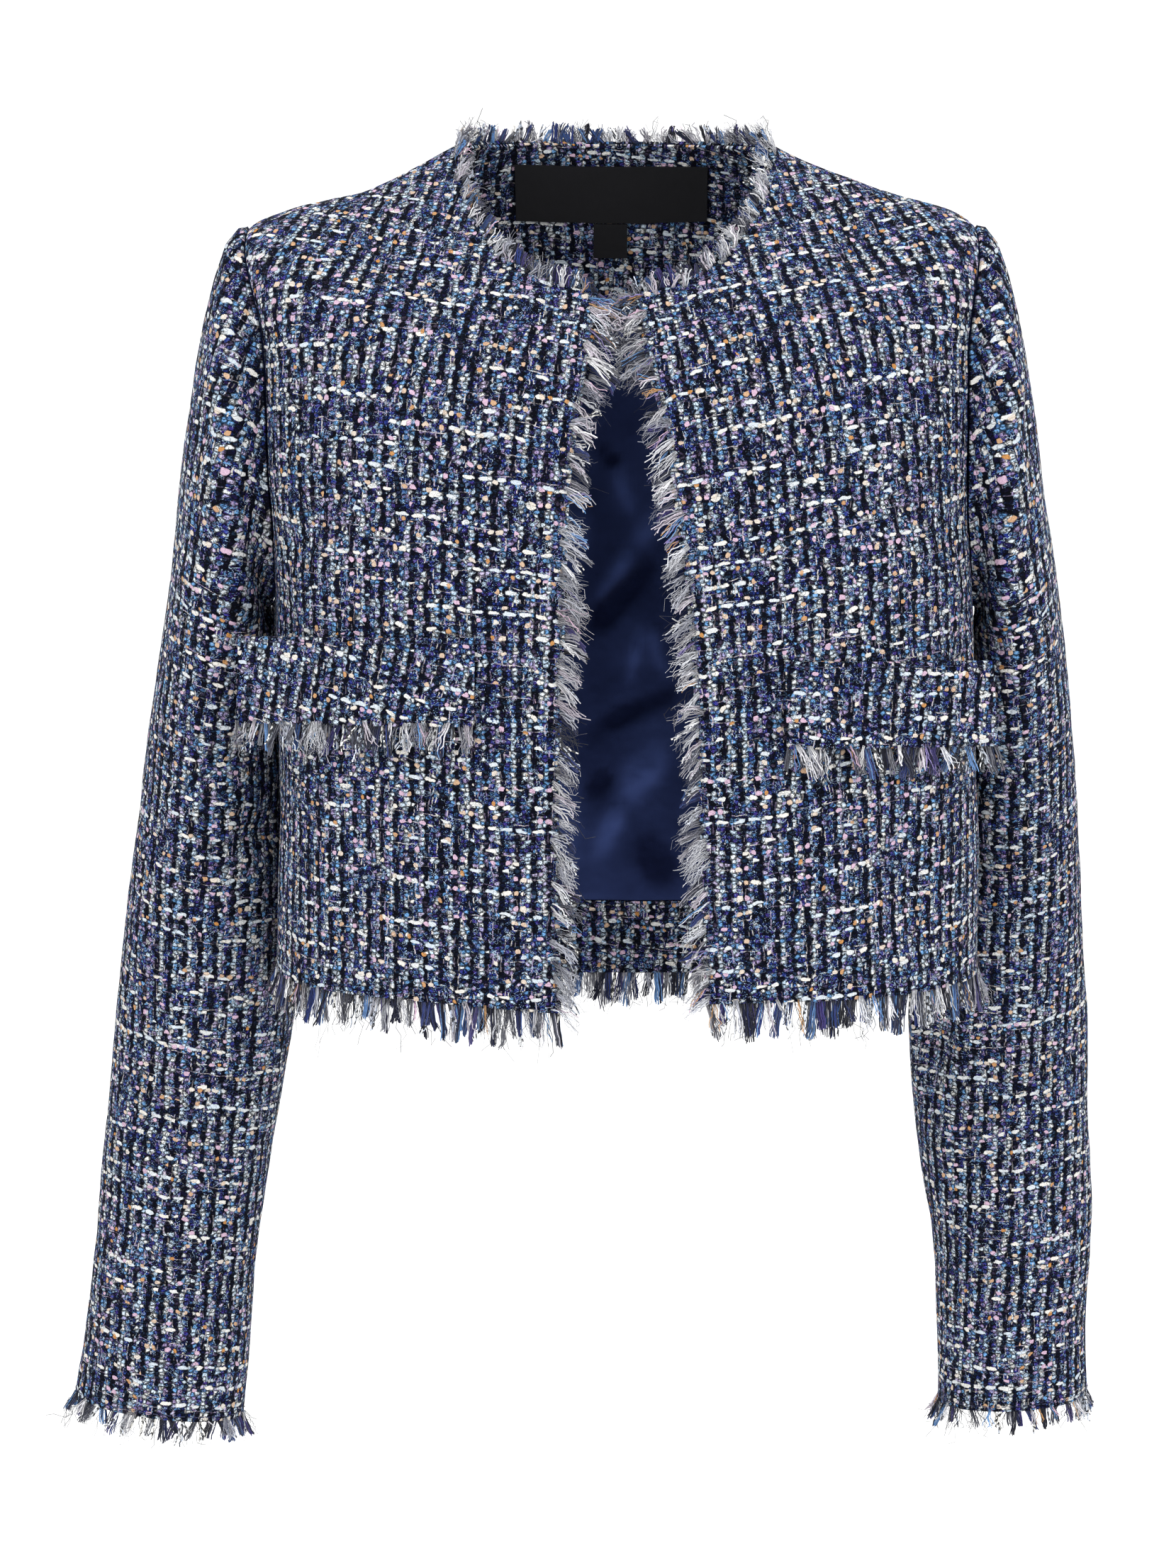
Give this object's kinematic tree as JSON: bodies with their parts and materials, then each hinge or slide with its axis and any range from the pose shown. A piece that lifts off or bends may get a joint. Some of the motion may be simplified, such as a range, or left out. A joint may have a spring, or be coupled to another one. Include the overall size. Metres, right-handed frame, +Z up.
{
  "type": "cropped tweed jacket, worn shape with no wearer",
  "caption": "Cropped open-front jacket in boucle tweed, round neck, straight sleeves, pocket flaps and frayed fringe along every edge, hollow as worn.",
  "frame": {"origin": "midway between the two points where the neckline meets the shoulder seams", "axes": "+X to the wearer's left, +Y to the back, +Z up"},
  "size_m": [0.5553, 0.2601, 0.7181],
  "materials": {
    "tweed": "boucle tweed of black, navy, blue and off-white yarns",
    "frayed_yarn": "loose frayed tweed yarn",
    "satin_lining": "navy satin lining",
    "black_ribbon": "matte black woven ribbon"
  },
  "bodies": {
    "root": {"front_right": "tweed", "front_left": "tweed", "back": "tweed", "sleeve_right": "tweed", "sleeve_left": "tweed", "flap_right": "tweed", "flap_left": "tweed", "neck_facing": "tweed", "hem_facing": "tweed", "lining": "satin_lining", "label_main": "black_ribbon", "label_size": "black_ribbon", "fringe_neck_back": "frayed_yarn", "fringe_neck_right": "frayed_yarn", "fringe_neck_left": "frayed_yarn", "fringe_front_right": "frayed_yarn", "fringe_front_left": "frayed_yarn", "fringe_hem_right": "frayed_yarn", "fringe_hem_left": "frayed_yarn", "fringe_hem_back": "frayed_yarn", "fringe_cuff_right": "frayed_yarn", "fringe_cuff_left": "frayed_yarn", "fringe_flap_right": "frayed_yarn", "fringe_flap_left": "frayed_yarn"}
  },
  "joints": []
}
